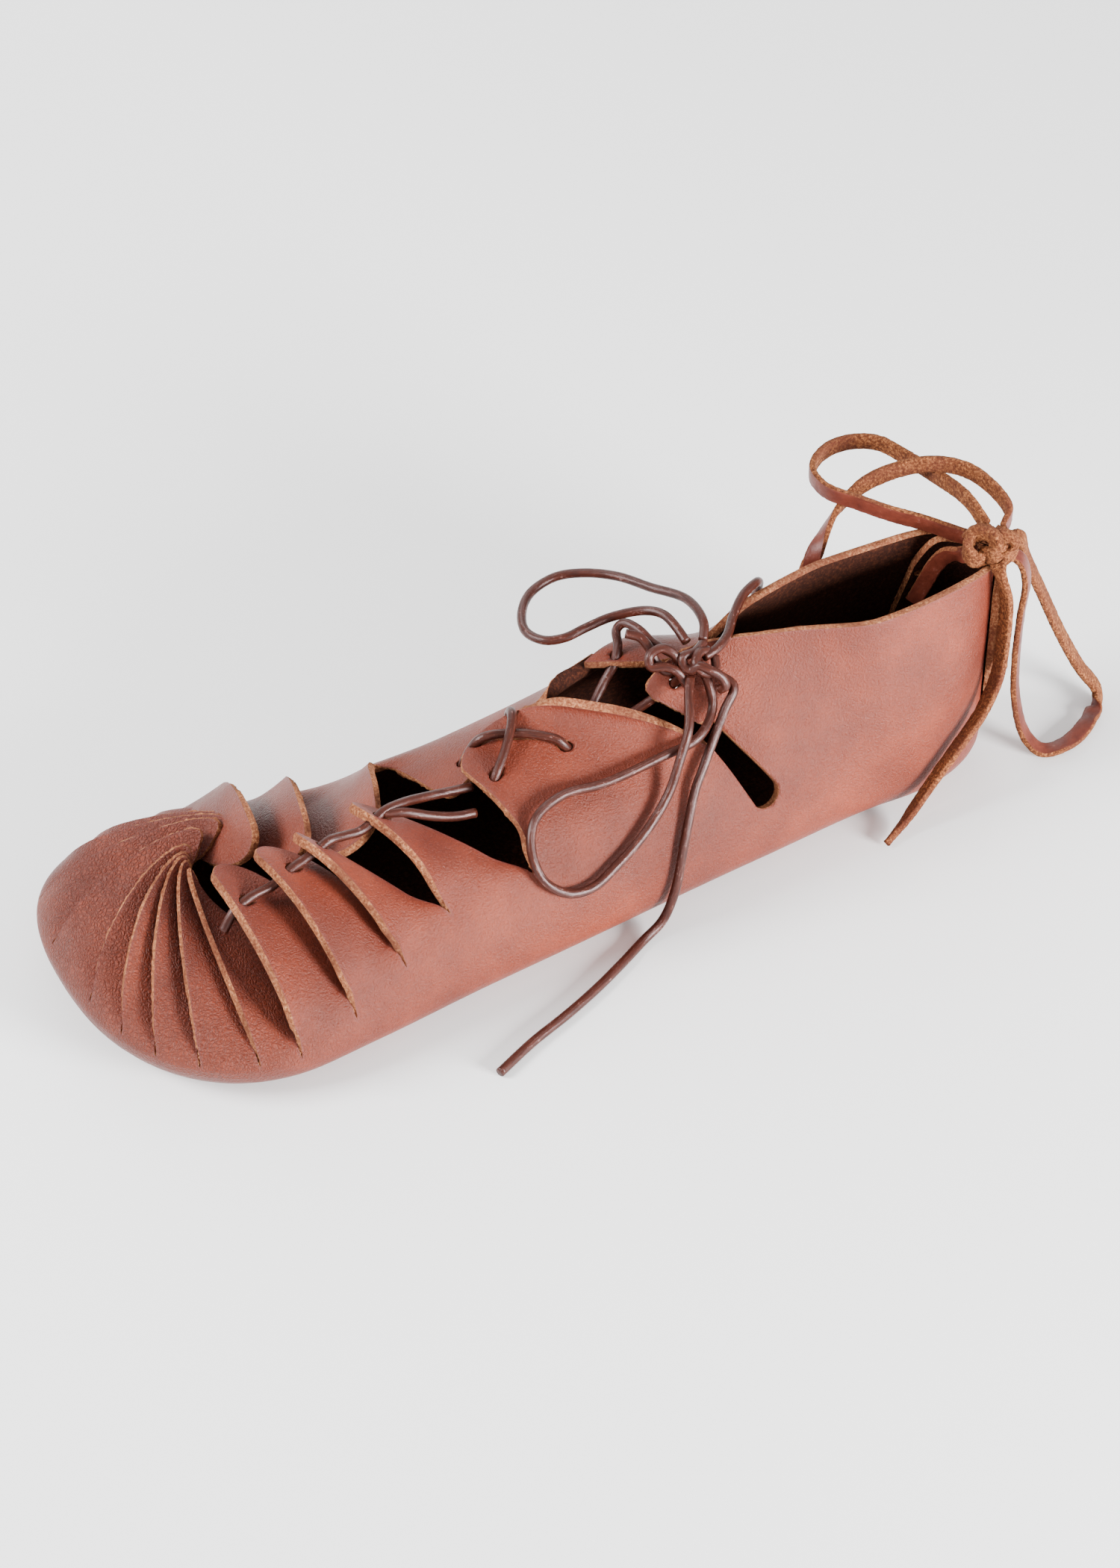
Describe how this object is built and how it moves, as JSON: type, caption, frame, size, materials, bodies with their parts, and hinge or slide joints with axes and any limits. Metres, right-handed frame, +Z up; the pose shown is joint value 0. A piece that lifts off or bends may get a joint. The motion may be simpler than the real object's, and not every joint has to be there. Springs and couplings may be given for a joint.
{
  "type": "medieval tie shoe",
  "caption": "Low shoe folded from leather, its toe cut into strips that a lace draws together, with instep and ankle flaps tied by a bow and the heel closed by a thong.",
  "frame": {"origin": "under the middle of the leather's box, on the ground", "axes": "toe towards -Y, heel towards +Y, outer side of the foot towards +X, +Z up"},
  "size_m": [0.1237, 0.3202, 0.0809],
  "materials": {
    "leather": "smooth grain side with a soft sheen, suede flesh side",
    "lace": "dark, worn glossy streaks",
    "thong": "smooth on one side, suede on the other"
  },
  "bodies": {
    "root": {"upper_and_sole": "leather", "toe_lace": "lace", "instep_lace": "lace", "instep_knot": "lace", "far_bow_loop": "lace", "near_bow_loop": "lace", "near_lace_end": "lace", "far_lace_end": "lace", "heel_knot": "thong", "heel_loop_a": "thong", "heel_loop_b": "thong", "heel_end_c": "thong", "heel_end_d": "thong", "heel_bar": "thong"}
  },
  "joints": []
}
